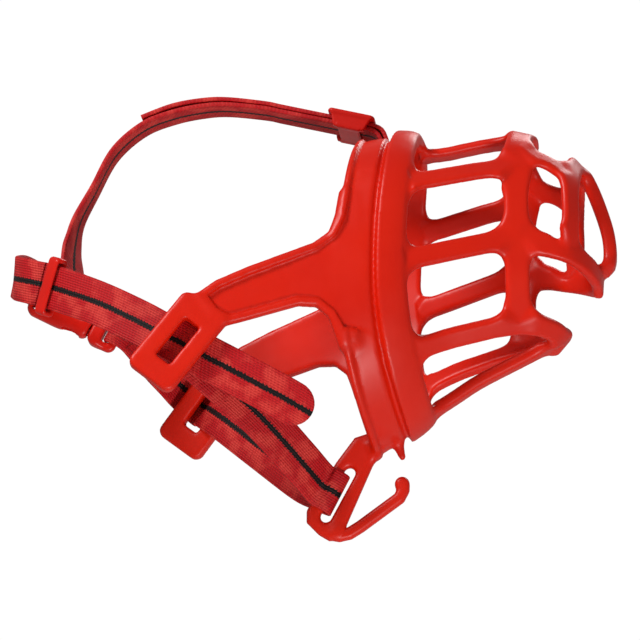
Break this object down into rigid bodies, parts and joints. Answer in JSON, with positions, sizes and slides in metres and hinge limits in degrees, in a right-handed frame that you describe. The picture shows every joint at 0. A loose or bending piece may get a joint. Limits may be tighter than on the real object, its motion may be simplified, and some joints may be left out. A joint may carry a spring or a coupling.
{
  "type": "basket muzzle",
  "caption": "Moulded rubber basket muzzle for a dog, with side arms, a chin collar hook, a webbing neck strap with side release buckle and an overhead strap with slider.",
  "frame": {"origin": "middle of the rear opening, which the snout goes in through", "axes": "+X towards the nose along the basket, +Z towards the crown, -Y the dog's right"},
  "size_m": [0.2689, 0.1427, 0.217],
  "materials": {
    "rubber": "satin moulded",
    "webbing": "woven",
    "plastic": "moulded"
  },
  "bodies": {
    "basket": {"rear_band": "rubber", "crown_bar": "rubber", "upper_bar_right": "rubber", "upper_bar_left": "rubber", "cheek_bar_right": "rubber", "cheek_bar_left": "rubber", "lower_bar_right": "rubber", "lower_bar_left": "rubber", "chin_bar": "rubber", "cheek_ring": "rubber", "nose_strut_right": "rubber", "nose_strut_left": "rubber", "nose_arch": "rubber", "nose_bar": "rubber", "side_arm_right": "rubber", "side_arm_left": "rubber", "slot_frame_right": "rubber", "slot_frame_left": "rubber", "chin_slot": "rubber", "hook_spike": "rubber", "chin_strap_right": "webbing", "chin_strap_left": "webbing", "chin_loop": "webbing", "loose_tail": "webbing", "overhead_front": "webbing", "overhead_tail": "webbing", "overhead_tail_end": "webbing"},
    "hook": {"collar_hook": "rubber"},
    "neck": {"neck_strap_right": "webbing", "neck_strap_left": "webbing", "keeper": "plastic", "buckle_plug": "plastic", "overhead_rear": "webbing", "rear_bend": "webbing"},
    "socket": {"buckle_socket": "plastic"},
    "upper_prong": {"prong_upper": "plastic"},
    "lower_prong": {"prong_lower": "plastic"},
    "slide": {"slider": "plastic"}
  },
  "joints": [
    {"name": "neck_strap_swing", "type": "hinge", "parent": "basket", "child": "neck", "pos_m": [-0.082, 0, -0.007], "axis": [0, 1, 0], "range_deg": [-8, 12], "deforming": ["overhead_rear", "overhead_tail_end"]},
    {"name": "buckle_release", "type": "slide", "parent": "neck", "child": "socket", "axis": [-0.7071, 0, 0.7071], "range_m": [0, 0.018], "deforming": ["rear_bend"]},
    {"name": "upper_prong_squeeze", "type": "hinge", "parent": "neck", "child": "upper_prong", "pos_m": [-0.10911, 0.025, 0.0474], "axis": [0, -1, 0], "range_deg": [0, 7], "stiffness_Nm_per_rad": 0.3},
    {"name": "lower_prong_squeeze", "type": "hinge", "parent": "neck", "child": "lower_prong", "pos_m": [-0.1224, 0.025, 0.03411], "axis": [0, 1, 0], "range_deg": [0, 7], "stiffness_Nm_per_rad": 0.3},
    {"name": "hook_flex", "type": "hinge", "parent": "basket", "child": "hook", "pos_m": [-0.042, 0, -0.0976], "axis": [0, 1, 0], "range_deg": [0, 15], "stiffness_Nm_per_rad": 0.15},
    {"name": "slider_travel", "type": "slide", "parent": "basket", "child": "slide", "axis": [-0.8607, 0, 0.509], "range_m": [0, 0.024]}
  ],
  "couplings": [
    {"joint": "lower_prong_squeeze", "follows": "upper_prong_squeeze", "ratio": 1}
  ]
}
